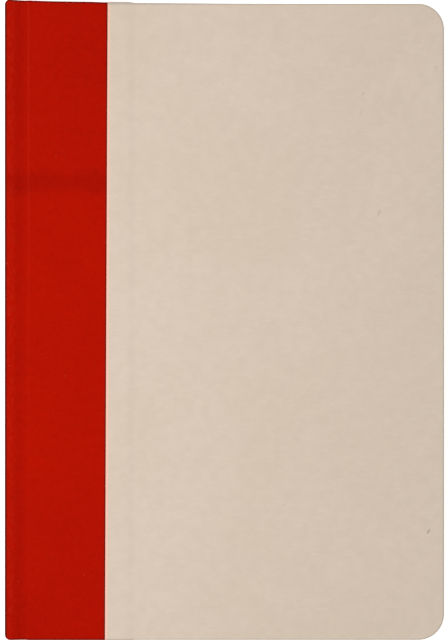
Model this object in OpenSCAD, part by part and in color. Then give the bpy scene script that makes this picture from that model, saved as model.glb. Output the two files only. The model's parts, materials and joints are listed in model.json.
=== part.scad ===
// Quarter-bound lined notebook, closed and lying on its back cover.
// X runs from the spine to the fore edge, Y from the tail to the head, Z from the back cover to the front.
// The origin is under the middle of the closed notebook, on the surface it lies on.

/* [Covers] */
// Width of the closed notebook, from the spine face to the fore edge
cover_w = 145; // [125:1:180]
// Height of the closed notebook, from tail to head
cover_h = 210.5; // [170:0.5:260]
// Radius of the two rounded corners at the fore edge
corner_r = 8.5; // [5:0.5:14]
// Thickness of a cover board
board_t = 2; // [1.6:0.1:3]
// How far the covers stand past the pages at head, tail and fore edge
square_w = 2.5; // [2:0.5:4]

/* [Cloth and papers] */
// Thickness of the spine cloth
cloth_t = 0.3; // [0.2:0.05:0.4]
// Thickness of the side paper
side_t = 0.18; // [0.1:0.02:0.3]
// Thickness of the leaf that is pasted down inside a cover
end_t = 0.12; // [0.1:0.02:0.2]
// Width of cloth that shows on a cover, from the spine face
cloth_show = 33.6; // [25:0.2:45]
// How far the side paper laps over the cloth
lap_w = 7.8; // [4:0.1:12]
// How much farther from the spine the side paper starts at the head than at the tail
lap_lean = 0.9; // [0:0.1:2]
// Width of the slope by which the side paper comes down from the cloth's edge to the board
ramp_w = 3; // [1:0.5:5]
// Width of cloth and paper that is turned in round the boards
turn_in = 15; // [10:1:20]

/* [Spine] */
// Thickness of the spine board
spine_board_t = 1; // [0.8:0.1:1.4]
// Radius of the cloth where it rolls round the long edges of the spine
roll_r = 0.9; // [0.6:0.1:1]
// Radius of the spine's corners at head and tail, seen from the front
cap_r = 1.5; // [0.8:0.1:2]
// Width of the shoulder beside the joint groove, from the spine face
shoulder_w = 2.2; // [2:0.1:2.8]
// How far the shoulder lies below the cloth on the cover
shoulder_drop = 0.4; // [0.2:0.1:0.6]
// Depth of the joint groove below the cloth on the cover
groove_d = 0.9; // [0.7:0.1:1.1]
// Distance from the spine face to the near edge of a cover board
joint_w = 8.2; // [7.6:0.2:10]
// Air between the spine board and the lining of the pages
hollow = 0.5; // [0.5:0.1:0.8]

/* [Hinge lines] */
// Height of a hinge line over the face of the pages
hinge_rise = 0.6; // [0.5:0.05:0.8]
// Room between the rolled edge of the spine and a cover that swings past it
swing_gap = 0.4; // [0.3:0.1:0.6]
// Gap between the two rigid lengths of cloth at a hinge line
split_gap = 0.1; // [0.05:0.05:0.2]

/* [Pages] */
// Number of sewn sections
sections = 12; // [8:1:16]
// Leaves in a section
leaves = 8; // [4:2:12]
// Thickness of a leaf
leaf_t = 0.11; // [0.08:0.01:0.14]
// Radius of a section's folded edge, as a share of the section's thickness
fold_share = 0.62; // [0.55:0.01:0.8]
// Air between the pages and what is pasted inside a cover
page_gap = 0.1; // [0.05:0.05:0.2]

/* [Sewing and lining] */
// Number of sewing stations along the spine
stations = 6; // [4:1:8]
// Distance from the head or tail of the pages to the first station
station_inset = 16; // [12:1:24]
// Diameter of the sewing thread
thread_d = 0.5; // [0.3:0.05:0.6]
// Room round the thread in the kerf that it lies in
kerf_gap = 0.1; // [0.05:0.05:0.2]
// Thickness of the open gauze that ties the pages to the covers
gauze_t = 0.2; // [0.1:0.02:0.28]
// Distance from the head or tail of the pages to the end of the gauze
gauze_inset = 18; // [16:1:28]
// How far the gauze reaches over a cover, from the spine face
gauze_reach = 28; // [20:1:32]
// Thickness of the paper lining on the spine of the pages
lining_t = 0.25; // [0.15:0.05:0.4]

/* [Head and tail bands] */
// Diameter of a band's bead
bead_d = 1.5; // [1:0.1:1.8]
// Length of a band's tape, glued down the spine of the pages
tape_l = 12; // [8:1:14]

/* [Hidden] */

// Sides of a true circle, and straight steps in each slope of the joint groove
$fn = 64;
slope_steps = 8;
// Length that carries a cutting shape clear past what it cuts
past = 1;

// Heights above the surface that the notebook lies on, worked outwards from the pages
section_t = leaves * leaf_t;
block_t = sections * section_t;
inside_t = cloth_t + side_t + end_t;
pages_low_z = cloth_t + side_t + board_t + inside_t + page_gap;
pages_top_z = pages_low_z + block_t;
total_t = pages_top_z + pages_low_z;
board_in_z = pages_top_z + page_gap + inside_t;
board_out_z = board_in_z + board_t;
cloth_z = board_out_z + cloth_t;
shoulder_z = cloth_z - shoulder_drop;
groove_z = cloth_z - groove_d;

// Places across the notebook
face_x = -cover_w / 2;
fore_x = cover_w / 2;
board_x = face_x + joint_w;
board_end_x = fore_x - side_t;
lap_x = face_x + cloth_show;
cloth_end_x = lap_x + lap_w;
ramp_end_x = cloth_end_x + ramp_w;
spine_in_x = face_x + cloth_t + spine_board_t;
lining_x = spine_in_x + hollow;
gauze_x = lining_x + lining_t;
pages_x = gauze_x + gauze_t;
pages_end_x = fore_x - square_w;
groove_s = (shoulder_w + joint_w) / 2;

// Lengths along the spine
board_h = cover_h - 2 * (cloth_t + side_t);
cloth_h = board_h + 2 * cloth_t;
pages_h = cover_h - 2 * square_w;
gauze_h = pages_h - 2 * gauze_inset;
window_h = board_h - 2 * turn_in;

// Corner radii, all about the same centre
board_r = corner_r - side_t;
pages_r = corner_r - square_w;

// The front hinge line, and the radius about it where the spine's cloth ends and a cover's begins
hinge_x = pages_x;
hinge_z = pages_top_z + hinge_rise;
roll_reach = norm([face_x + roll_r - hinge_x, shoulder_z - roll_r - hinge_z]) + roll_r;
hinge_r = roll_reach + swing_gap;

// Cross sections are drawn as x and z, and run along the spine from y0 to y1
module along_spine(y0, y1) {
    translate([0, y1, 0])
        rotate([90, 0, 0])
            linear_extrude(y1 - y0)
                children();
}

// The same shape at the head and at the tail
module both_ends() {
    children();
    mirror([0, 1, 0])
        children();
}

// The back cover is the front cover seen in a mirror halfway through the pages
module on_back() {
    translate([0, 0, total_t])
        mirror([0, 0, 1])
            children();
}

// Upright slab with a plan of its own, from z0 to z1
module slab(z0, z1) {
    translate([0, 0, z0])
        linear_extrude(z1 - z0)
            children();
}

// Plan of a sheet or board: square at x0, with both corners rounded at x1
module rounded_plan(x0, x1, h, r) {
    translate([x0, -h / 2])
        square([x1 - x0 - r, h]);
    translate([x0, -h / 2 + r])
        square([x1 - x0, h - 2 * r]);
    for (side = [-1, 1])
        translate([x1 - r, side * (h / 2 - r)])
            circle(r);
}

// A plain box between two corners
module block(low, high) {
    translate(low)
        cube(high - low);
}

// Round bar along the front hinge line
module hinge_bar(r) {
    translate([hinge_x, 0, hinge_z])
        rotate([90, 0, 0])
            cylinder(r = r, h = cover_h + 2 * past, center = true);
}

// Smooth rise from 0 to 1
function ease(t) = (1 - cos(180 * t)) / 2;

// Smooth slope between two heights, along the stretch from s0 to s1
function slope(s, s0, s1, z0, z1) = z0 + (z1 - z0) * ease((s - s0) / (s1 - s0));

// Height of the cloth's outer side at a distance s from the spine face
function cloth_top(s) =
    s <= shoulder_w ? shoulder_z
    : s < groove_s ? slope(s, shoulder_w, groove_s, shoulder_z, groove_z)
    : s < joint_w ? slope(s, groove_s, joint_w, groove_z, cloth_z)
    : cloth_z;

// Height of the upper side of the cloth that is turned in: under the outer layer, then under the board
function turned_top(s) =
    s < groove_s ? cloth_top(s) - cloth_t
    : s < joint_w ? slope(s, groove_s, joint_w, groove_z - cloth_t, board_in_z)
    : board_in_z;

// Distances from the spine face that follow both slopes of the groove, with an end either side
groove_stops = concat(
    [for (i = [0:slope_steps]) shoulder_w + (groove_s - shoulder_w) * i / slope_steps],
    [for (i = [1:slope_steps]) groove_s + (joint_w - groove_s) * i / slope_steps]
);
shoulder_stops = concat([cloth_t + spine_board_t], groove_stops);
cover_stops = concat(groove_stops, [cloth_show + lap_w]);

// Section of a layer: upper side along the stops and back along the lower side
module layer(stops, upper, lower) {
    last = len(stops) - 1;
    polygon(concat(
        [for (i = [0:last]) [face_x + stops[i], upper[i]]],
        [for (i = [last:-1:0]) [face_x + stops[i], lower[i]]]
    ));
}

module outer_layer(stops) {
    layer(stops, [for (s = stops) cloth_top(s)], [for (s = stops) cloth_top(s) - cloth_t]);
}

module turned_layer(stops) {
    layer(stops, [for (s = stops) turned_top(s)], [for (s = stops) turned_top(s) - cloth_t]);
}

module both_layers(stops) {
    layer(stops, [for (s = stops) cloth_top(s)], [for (s = stops) turned_top(s) - cloth_t]);
}

// Outline of the spine's wrap, drawn in by the given amount, as far as end_x
module spine_plan(inset, end_x) {
    r = roll_r - inset;
    z0 = total_t - shoulder_z + inset;
    z1 = shoulder_z - inset;
    x0 = face_x + inset;
    intersection() {
        translate([x0, z0])
            square([end_x - x0, z1 - z0]);
        union() {
            translate([x0, z0 + r])
                square([end_x - x0, z1 - z0 - 2 * r]);
            translate([x0 + r, z0])
                square([end_x - x0, z1 - z0]);
            for (z = [z0 + r, z1 - r])
                translate([x0 + r, z])
                    circle(r);
        }
    }
}

// The spine's wrap as a solid with rounded corners at head and tail, drawn in by the given amount
module spine_form(inset, end_x) {
    h = cloth_h - 2 * inset;
    intersection() {
        along_spine(-h / 2, h / 2)
            spine_plan(inset, end_x);
        slab(0, total_t)
            mirror([1, 0])
                rounded_plan(-end_x, -face_x - inset, h, cap_r - inset);
    }
}

// Pages

// One sewn section in cross section: leaves with a rounded fold at the spine
module section_profile() {
    fold_r = fold_share * section_t;
    translate([pages_x + fold_r, 0])
        square([pages_end_x - pages_x - fold_r, section_t]);
    translate([pages_x + fold_r, section_t / 2])
        circle(fold_r);
}

// Place along the spine of each sewing station
function station_y(i) = -pages_h / 2 + station_inset + (pages_h - 2 * station_inset) * i / (stations - 1);

// Upright bars in the line of the sewing
module at_stations(r, z0, z1) {
    for (i = [0:stations - 1])
        translate([pages_x + thread_d / 2, station_y(i), z0])
            cylinder(r = r, h = z1 - z0);
}

// Foot of the outermost leaf, which is pasted to the cover beyond the hinge line
module outer_leaf_foot() {
    block(
        [pages_x + section_t, -pages_h / 2, pages_top_z - leaf_t],
        [hinge_x + hinge_r - split_gap, pages_h / 2, pages_top_z + end_t]
    );
}

module text_block() {
    color("ivory") {
        difference() {
            intersection() {
                along_spine(-pages_h / 2, pages_h / 2)
                    for (i = [0:sections - 1])
                        translate([0, pages_low_z + i * section_t])
                            section_profile();
                slab(pages_low_z, pages_top_z)
                    rounded_plan(pages_x, pages_end_x, pages_h, pages_r);
            }
            at_stations(thread_d / 2 + kerf_gap, pages_low_z - past, pages_top_z + past);
        }
        outer_leaf_foot();
        on_back()
            outer_leaf_foot();
    }
}

module sewing_thread() {
    color("white")
        at_stations(thread_d / 2, pages_low_z + section_t / 2, pages_top_z - section_t / 2);
}

module spine_gauze() {
    color("wheat")
        block([gauze_x, -gauze_h / 2, pages_low_z], [pages_x, gauze_h / 2, pages_top_z]);
}

module spine_lining() {
    color("peru")
        block([lining_x, -pages_h / 2, pages_low_z], [gauze_x, pages_h / 2, pages_top_z]);
}

// Rolled bead on the end of the pages, with its tape down the spine
module band() {
    translate([gauze_x + bead_d / 2, pages_h / 2 + bead_d / 2, pages_low_z])
        cylinder(d = bead_d, h = block_t);
    block(
        [gauze_x, pages_h / 2 - tape_l, pages_low_z],
        [pages_x, pages_h / 2 + bead_d / 2, pages_top_z]
    );
}

module head_band() {
    color("linen")
        band();
}

module tail_band() {
    color("linen")
        mirror([0, 1, 0])
            band();
}

// Spine

module spine_board() {
    color("gray")
        spine_form(cloth_t, spine_in_x);
}

// Cloth that runs from the shoulder into the front groove, as far as the hinge line's radius
module groove_flap() {
    intersection() {
        union() {
            along_spine(-cloth_h / 2, cloth_h / 2)
                outer_layer(shoulder_stops);
            both_ends()
                along_spine(window_h / 2, cloth_h / 2)
                    both_layers(shoulder_stops);
        }
        hinge_bar(hinge_r);
    }
}

module spine_cloth() {
    color([0.7, 0.07, 0.01]) {
        difference() {
            spine_form(0, spine_in_x);
            spine_form(cloth_t, spine_in_x + past);
        }
        both_ends()
            block(
                [spine_in_x, window_h / 2, total_t - shoulder_z],
                [spine_in_x + cloth_t, cloth_h / 2, shoulder_z]
            );
        groove_flap();
        on_back()
            groove_flap();
    }
}

// Covers, drawn as the front one

module cover_board() {
    slab(board_in_z, board_out_z)
        rounded_plan(board_x, board_end_x, board_h, board_r);
}

// Cloth over the board and into the groove, turned in at head and tail
module cover_cloth() {
    difference() {
        union() {
            along_spine(-cloth_h / 2, cloth_h / 2)
                outer_layer(cover_stops);
            both_ends() {
                along_spine(window_h / 2, cloth_h / 2)
                    turned_layer(cover_stops);
                along_spine(board_h / 2, cloth_h / 2)
                    both_layers(cover_stops);
            }
        }
        hinge_bar(hinge_r + split_gap);
    }
}

// All that the side paper wraps, with a skin of the given thickness: the board, and the cloth under the lap.
// Past the cloth's edge it slopes down to the bare board. Its leaning edge stands out by reach.
module wrapped_form(skin, reach) {
    lean = lap_lean / 2;
    intersection() {
        along_spine(-cover_h, cover_h)
            polygon([
                [face_x, board_in_z - cloth_t - skin],
                [cloth_end_x, board_in_z - cloth_t - skin],
                [ramp_end_x, board_in_z - skin],
                [fore_x + past, board_in_z - skin],
                [fore_x + past, board_out_z + skin],
                [ramp_end_x, board_out_z + skin],
                [cloth_end_x, cloth_z + skin],
                [face_x, cloth_z + skin]
            ]);
        slab(pages_low_z, total_t + past) {
            rounded_plan(ramp_end_x, board_end_x + skin, board_h + 2 * skin, board_r + skin);
            polygon([
                [lap_x - lean - reach, -cloth_h / 2 - skin],
                [cloth_end_x, -cloth_h / 2 - skin],
                [ramp_end_x, -board_h / 2 - skin],
                [ramp_end_x, board_h / 2 + skin],
                [cloth_end_x, cloth_h / 2 + skin],
                [lap_x + lean - reach, cloth_h / 2 + skin]
            ]);
        }
    }
}

// Opening between the turn-ins, drawn in by the given amount, from z0 to z1
module turn_in_window(inset, z0, z1) {
    block(
        [face_x, -window_h / 2 + inset, z0],
        [board_end_x - turn_in - inset, window_h / 2 - inset, z1]
    );
}

// Side paper: over the cloth's edge, down onto the board and turned in on three sides
module cover_side_paper() {
    difference() {
        wrapped_form(side_t, 0);
        wrapped_form(0, past);
        turn_in_window(0, pages_top_z, (board_in_z + board_out_z) / 2);
    }
}

// Gauze between the board and the pasted-down leaf
module cover_gauze() {
    difference() {
        block(
            [hinge_x, -gauze_h / 2, board_in_z - gauze_t],
            [face_x + gauze_reach, gauze_h / 2, board_in_z]
        );
        hinge_bar(hinge_r + split_gap);
    }
}

// All that lies between the board and the pasted-down leaf, made larger by grow on its open sides
module under_pastedown(grow) {
    top_z = board_in_z + past;
    if (grow > 0)
        block([hinge_x, -pages_h / 2, board_in_z - grow], [pages_end_x, pages_h / 2, top_z]);
    block(
        [hinge_x, -gauze_h / 2 - grow, board_in_z - gauze_t - grow],
        [face_x + gauze_reach + grow, gauze_h / 2 + grow, top_z]
    );
    both_ends()
        block(
            [hinge_x, window_h / 2 - grow, board_in_z - cloth_t - grow],
            [cloth_end_x + grow, board_h / 2, top_z]
        );
    difference() {
        wrapped_form(side_t + grow, grow);
        turn_in_window(grow, pages_low_z, total_t + past);
    }
}

// Outer leaf of the pages, pasted over the gauze, the turn-ins and the bare board
module cover_pastedown() {
    difference() {
        intersection() {
            slab(pages_top_z, board_in_z)
                rounded_plan(hinge_x, pages_end_x, pages_h, pages_r);
            under_pastedown(end_t);
        }
        under_pastedown(0);
        hinge_bar(hinge_r + split_gap);
    }
}

module front_board() {
    color("gray")
        cover_board();
}

module front_cloth() {
    color([0.7, 0.07, 0.01])
        cover_cloth();
}

module front_side_paper() {
    color([0.85, 0.79, 0.72])
        cover_side_paper();
}

module front_gauze() {
    color("wheat")
        cover_gauze();
}

module front_pastedown() {
    color("ivory")
        cover_pastedown();
}

module back_board() {
    on_back()
        front_board();
}

module back_cloth() {
    on_back()
        front_cloth();
}

module back_side_paper() {
    on_back()
        front_side_paper();
}

module back_gauze() {
    on_back()
        front_gauze();
}

module back_pastedown() {
    on_back()
        front_pastedown();
}

text_block();
sewing_thread();
spine_gauze();
spine_lining();
head_band();
tail_band();
spine_board();
spine_cloth();
front_board();
front_cloth();
front_side_paper();
front_gauze();
front_pastedown();
back_board();
back_cloth();
back_side_paper();
back_gauze();
back_pastedown();
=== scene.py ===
"""Quarter-bound lined notebook: red cloth spine, plain paper sides, sewn and ruled pages.

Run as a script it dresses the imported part. Each group of pieces has an operator, listed in a sidebar panel.
Lengths are metres in the part's frame: X runs from spine to fore edge, Y from tail to head, Z from back
cover to front cover.
"""

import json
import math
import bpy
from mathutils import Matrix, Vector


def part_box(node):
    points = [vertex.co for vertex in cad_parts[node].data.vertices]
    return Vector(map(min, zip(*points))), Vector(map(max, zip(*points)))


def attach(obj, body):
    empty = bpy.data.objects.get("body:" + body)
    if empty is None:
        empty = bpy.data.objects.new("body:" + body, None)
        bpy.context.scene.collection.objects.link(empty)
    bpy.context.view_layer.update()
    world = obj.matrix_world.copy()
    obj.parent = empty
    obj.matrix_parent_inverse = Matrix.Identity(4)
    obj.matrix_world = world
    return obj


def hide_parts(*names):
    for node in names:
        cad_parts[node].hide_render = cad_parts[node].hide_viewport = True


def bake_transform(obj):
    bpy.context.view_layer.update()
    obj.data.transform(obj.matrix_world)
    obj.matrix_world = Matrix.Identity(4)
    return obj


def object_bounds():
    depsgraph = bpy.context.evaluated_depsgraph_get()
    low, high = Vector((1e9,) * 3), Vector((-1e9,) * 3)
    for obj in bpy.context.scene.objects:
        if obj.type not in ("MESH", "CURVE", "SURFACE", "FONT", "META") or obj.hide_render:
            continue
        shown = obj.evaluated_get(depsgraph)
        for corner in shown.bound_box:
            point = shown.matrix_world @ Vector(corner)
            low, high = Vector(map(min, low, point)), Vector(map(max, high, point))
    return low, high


bl_info = {
    "name": "Lined Notebook",
    "version": (1, 0, 0),
    "blender": (4, 5, 0),
    "location": "View3D > Sidebar > Notebook",
    "description": "Cloth, papers, pages, ruling and bands of a quarter-bound lined notebook",
    "category": "Add Mesh",
}

from functools import partial

import bpy
import numpy as np
from bpy.props import FloatProperty, IntProperty, PointerProperty, StringProperty
from bpy.types import Operator, Panel, PropertyGroup
from mathutils import Vector

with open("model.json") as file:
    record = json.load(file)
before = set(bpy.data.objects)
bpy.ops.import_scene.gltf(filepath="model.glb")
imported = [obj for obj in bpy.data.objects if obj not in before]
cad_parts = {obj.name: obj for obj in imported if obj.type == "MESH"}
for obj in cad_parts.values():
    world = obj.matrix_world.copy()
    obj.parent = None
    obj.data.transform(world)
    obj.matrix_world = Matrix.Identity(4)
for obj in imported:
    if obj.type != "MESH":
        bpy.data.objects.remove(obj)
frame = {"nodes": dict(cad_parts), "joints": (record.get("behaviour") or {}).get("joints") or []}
CAD_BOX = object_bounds()
MM = 0.001

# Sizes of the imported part
BOARD_LOW, BOARD_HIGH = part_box("front_board")
CLOTH_LOW, CLOTH_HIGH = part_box("front_cloth")
PAPER_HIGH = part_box("front_side_paper")[1]
SPINE_LOW, SPINE_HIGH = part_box("spine_cloth")
STIFFENER_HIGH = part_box("spine_board")[1]
LINING_LOW, LINING_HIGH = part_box("spine_lining")
GAUZE_LOW, GAUZE_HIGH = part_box("front_gauze")
SPINE_GAUZE_LOW, SPINE_GAUZE_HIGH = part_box("spine_gauze")
BLOCK_LOW, BLOCK_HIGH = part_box("text_block")
BAND_LOW, BAND_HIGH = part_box("head_band")
HINGE = Vector(next(j["pos_m"] for j in frame["joints"] if j["child"] == "front_cover"))

TOTAL_T = CAD_BOX[1].z
MIDDLE_Z = TOTAL_T / 2
FACE_X = SPINE_LOW.x
FORE_X = PAPER_HIGH.x
CLOTH_Z = CLOTH_HIGH.z
CLOTH_T = CLOTH_HIGH.z - BOARD_HIGH.z
SIDE_T = PAPER_HIGH.z - CLOTH_Z
CLOTH_H = CLOTH_HIGH.y - CLOTH_LOW.y
BOARD_H = BOARD_HIGH.y - BOARD_LOW.y
BOARD_IN_Z = BOARD_LOW.z
SHOULDER_Z = SPINE_HIGH.z
JOINT_W = BOARD_LOW.x - FACE_X
CLOTH_END_X = CLOTH_HIGH.x
PAGES_X = SPINE_GAUZE_HIGH.x
PAGES_END_X = BLOCK_HIGH.x
PAGES_H = BLOCK_HIGH.y - BLOCK_LOW.y
PAGES_LOW_Z = LINING_LOW.z
PAGES_TOP_Z = LINING_HIGH.z
PAGES_T = PAGES_TOP_Z - PAGES_LOW_Z

# The part's sizes that no box shows
CORNER_R = 8.5 * MM
LEAF_R = CORNER_R - 2.5 * MM
ROLL_R = 0.9 * MM
SHOULDER_W = 2.2 * MM
GROOVE_DEPTH = 0.9 * MM
TURN_IN = 15 * MM
CLOTH_SHOW = 33.6 * MM
LAP_LEAN = 0.9 * MM
RAMP_W = 3 * MM
LEAF_T = 0.12 * MM
GAUZE_T = 0.2 * MM
SECTIONS = 12
LEAVES = 8

# As the photo shows them: the spine's rounded corners, and the covering's play at the head
CAP_R = 2 * MM
HEAD_LIFT = 1 * MM
HEAD_SLOPE = 0.3 * MM

# Thicknesses as drawn, a little under the real ones, so that the layers glued together don't meet
CLOTH_DRAWN = 0.27 * MM
PAPER_DRAWN = 0.15 * MM
LEAF_DRAWN = 0.105 * MM
GAUZE_DRAWN = 0.17 * MM
TAPE_DRAWN = 0.16 * MM
SHARP = math.radians(50)

# The cloth sinks gently behind the shoulder and comes up steeply against the board
DEEP_S = (SHOULDER_W + JOINT_W) / 2 + 0.4 * MM
GROOVE_STEEP = 1.8
GROOVE_Z = CLOTH_Z - GROOVE_DEPTH

# Sizes that follow from these, and the two covers with their bodies
WINDOW_H = BOARD_H - 2 * TURN_IN
LAP_X = FACE_X + CLOTH_SHOW
RAMP_END_X = CLOTH_END_X + RAMP_W
SKIN_H = BOARD_H + 2 * SIDE_T
QUARTER = math.pi / 2
SIDES = (("front", "front_cover"), ("back", "back_cover"))

# The front paper's four largest flecks: place, half width and half length in millimetres, lean and darkness
FLECKS = (
    (45.9, 75.3, 0.6, 0.8, 0.0, 0.28),
    (51.0, 35.7, 0.5, 2.0, 0.35, 0.3),
    (67.4, -69.1, 0.42, 1.3, 0.55, 0.65),
    (69.8, 83.9, 0.55, 0.6, 0.0, 0.28),
)


# Sizes and colours to change


def length(name, description, default, least, most):
    """A length to change, given here in millimetres."""
    return FloatProperty(
        name=name, description=description, default=default * MM, min=least * MM, max=most * MM,
        precision=5, unit="LENGTH",
    )


def hex_colour(name, thing, default):
    """A colour to change."""
    return StringProperty(name=name, description=f"sRGB colour of the {thing}", default=default)


class NotebookSizes(PropertyGroup):
    edge_round: length("Edge rounding", "Radius of cloth and paper round a board's edge", 0.45, 0.1, 0.9)
    thread_pitch: length("Thread spacing", "Distance between two threads of the spine cloth", 0.46, 0.2, 1)
    ruling_pitch: length("Ruling", "Distance between two ruled lines", 7, 5, 10)
    ruling_lines: IntProperty(
        name="Ruled lines", description="Number of lines on a page", default=26, min=10, max=36)
    ruling_width: length("Line width", "Width of a printed line", 0.28, 0.1, 0.5)
    winding_pitch: length("Band winding", "Distance between two turns of a band's thread", 0.44, 0.3, 1)


class NotebookColours(PropertyGroup):
    cloth: hex_colour("Spine cloth", "book cloth", "#B81100")
    paper: hex_colour("Side paper", "cover paper", "#D9C8B7")
    leaf: hex_colour("Pages", "writing paper", "#E6DECD")
    ruling: hex_colour("Ruling", "printed lines", "#93A0AB")
    cotton: hex_colour("Bands", "head and tail bands", "#E4DBC6")


class NotebookProps(PropertyGroup):
    sizes: PointerProperty(type=NotebookSizes)
    colours: PointerProperty(type=NotebookColours)


def sizes():
    return bpy.context.scene.lined_notebook.sizes


def colours():
    return bpy.context.scene.lined_notebook.colours


# Meshes


def ease(t):
    """Smooth rise from 0 to 1 over t from 0 to 1."""
    return (1 - np.cos(np.pi * np.clip(t, 0, 1))) / 2


def rise(value, start, end):
    """0 before start, 1 after end and smooth between them."""
    return ease((np.asarray(value, float) - start) / (end - start))


def arc_drop(past, radius):
    """How far a quarter circle has dropped from its top, at a distance past its start."""
    return radius - np.sqrt(np.clip(radius**2 - past**2, 0, None))


def join_stations(*runs):
    """One rising list of stations out of several runs that meet end to end."""
    return np.unique(np.round(np.concatenate(runs), 9))


def stations(start, *runs):
    """Rising stations in runs of a count and an end each. A run starts where the one before it ended."""
    stops = []
    for count, end in runs:
        stops.append(np.linspace(start, end, count))
        start = end
    return join_stations(*stops)


def plain_mesh(name, points, faces):
    """A mesh from its points and faces."""
    mesh = bpy.data.meshes.new(name)
    mesh.from_pydata(points, [], faces)
    return mesh


def grid_mesh(name, points, uvs, outward_up):
    """A sheet of quads over a grid of points. outward_up tells which side of the grid is the outside."""
    rows, columns = points.shape[:2]
    index = np.arange(rows * columns).reshape(rows, columns)
    quads = np.stack([index[:-1, :-1], index[1:, :-1], index[1:, 1:], index[:-1, 1:]], -1).reshape(-1, 4)
    if not outward_up:
        quads = quads[:, ::-1]
    mesh = plain_mesh(name, points.reshape(-1, 3).tolist(), quads.tolist())
    layer = mesh.uv_layers.new(name="flat")
    flat = np.asarray(uvs, float).reshape(-1, 2)
    corners = np.empty(len(mesh.loops), np.int32)
    mesh.loops.foreach_get("vertex_index", corners)
    layer.data.foreach_set("uv", flat[corners].ravel())
    return mesh


def linked(name, data):
    """A new object in the scene."""
    piece = bpy.data.objects.new(name, data)
    bpy.context.scene.collection.objects.link(piece)
    return piece


def show(name, mesh, material, smooth=True):
    """Puts a mesh into the scene with its material."""
    piece = linked(name, mesh)
    mesh.materials.append(material)
    if smooth:
        mesh.shade_smooth()
    return piece


def settle(piece):
    """Turns a piece's modifiers into plain mesh."""
    bpy.context.view_layer.update()
    graph = bpy.context.evaluated_depsgraph_get()
    built = piece.evaluated_get(graph)
    mesh = bpy.data.meshes.new_from_object(built, preserve_all_data_layers=True, depsgraph=graph)
    mesh.name = piece.name
    piece.modifiers.clear()
    piece.data = mesh


def thicken(piece, thickness):
    """Gives a sheet its thickness, inwards from its outside, with crisp cut edges."""
    solid = piece.modifiers.new("thickness", "SOLIDIFY")
    solid.thickness = thickness
    solid.offset = -1
    settle(piece)
    piece.data.set_sharp_from_angle(angle=SHARP)


def back_of(points):
    """The same points on the back of the notebook."""
    turned = points.copy()
    turned[..., 2] = TOTAL_T - turned[..., 2]
    return turned


def hinged_sheets(name, grid, flats, material, thickness, start, end, slot, *replaced):
    """Shows a sheet on front and back, whole across the joint. start and end are not used, flats are the flat
    coordinates on front and back, and {} in the name of a replaced node stands for the side."""
    for (side, body), flat in zip(SIDES, flats):
        front = side == "front"
        points = grid if front else back_of(grid)
        piece = show(f"{side}_{name}", grid_mesh(f"{side}_{name}", points, flat, not front), material)
        thicken(piece, thickness)
        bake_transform(piece)
        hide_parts(*(hidden.format(side) for hidden in replaced))


# Materials


def linear(code):
    """sRGB hex colour as linear red, green, blue and full alpha."""
    parts = [int(code[i : i + 2], 16) / 255 for i in (1, 3, 5)]
    return tuple(c / 12.92 if c <= 0.04045 else ((c + 0.055) / 1.055) ** 2.4 for c in parts) + (1.0,)


def node(tree, kind, *values, **settings):
    """Adds one node of a kind, which may be followed by its operation. values fill its sockets in order. A
    setting with a capital is a socket by its identifier, with _ for a space, and any other is a property. A
    socket gets a value, another socket, or a node, which stands for its first live output."""
    kind, _, operation = kind.partition(" ")
    made = tree.nodes.new(kind if "Node" in kind else "ShaderNode" + kind)
    if operation:
        made.operation = operation
    for name, value in settings.items():
        if name[0].islower():
            setattr(made, name, value)
    sockets = {socket.identifier.replace(" ", "_"): socket for socket in made.inputs}
    filled = list(zip(made.inputs, values))
    filled += [(sockets[name], value) for name, value in settings.items() if name[0].isupper()]
    for socket, value in filled:
        if isinstance(value, bpy.types.Node):
            value = next(output for output in value.outputs if output.enabled)
        if isinstance(value, bpy.types.NodeSocket):
            tree.links.new(value, socket)
        else:
            socket.default_value = value
    return made


def empty_material(name):
    """A material with an empty tree, and the function that adds a node to it."""
    material = bpy.data.materials.new(name)
    material.use_nodes = True
    material.node_tree.nodes.clear()
    return material, partial(node, material.node_tree)


def stripe(add, value, middle, near, far, strength, rest=0.0, fade="SMOOTHSTEP"):
    """Stripe along a line: strength up to near from the middle value, then fading, and rest beyond far."""
    away = add("Math ABSOLUTE", add("Math SUBTRACT", value, middle))
    return add("MapRange", away, near, far, strength, rest, interpolation_type=fade)


def wandering(add, place, grain, reach):
    """The place moved by a cloudy amount, so that a pattern on it runs uneven."""
    drift = add("TexNoise", place, Scale=1 / grain, Detail=2.0)
    drift = add("VectorMath SUBTRACT", drift.outputs["Color"], (0.5, 0.5, 0.5))
    drift = add("VectorMath SCALE", drift, Scale=reach)
    return add("VectorMath ADD", place, drift)


def scatter(add, place, spacing, near, far, rarity):
    """Faint spots, one to a cell of the given spacing, in the few cells whose chance passes rarity."""
    cells = add("TexVoronoi", place, Scale=1 / spacing, feature="F1")
    spot = add("MapRange", cells.outputs["Distance"], near, far, 0.3, 0.0)
    chance = add("SeparateXYZ", cells.outputs["Color"])
    chance = add("Math GREATER_THAN", chance, rarity)
    return add("Math MULTIPLY", spot, chance)


def by_slope(add, start, end, low, high):
    """From low to high as the surface turns from start to end, where 0 is upright and 1 lies flat."""
    normal = add("SeparateXYZ", add("NewGeometry").outputs["Normal"]).outputs
    level = add("Math ABSOLUTE", normal[2])
    return add("MapRange", level, start, end, low, high)


def past(add, value, limit):
    """How far a value is past its limit, or 0."""
    return add("Math MAXIMUM", add("Math SUBTRACT", value, limit), 0.0)


def laid_over(add, colour, code, pattern, start=0.0, end=1.0, share=1.0, **settings):
    """A colour laid over another, more of it as the pattern goes from start to end, at most its share."""
    cover = add("MapRange", pattern, start, end, 0.0, share, **settings)
    return add("Mix", cover, A_Color=colour, B_Color=linear(code), data_type="RGBA")


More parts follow.
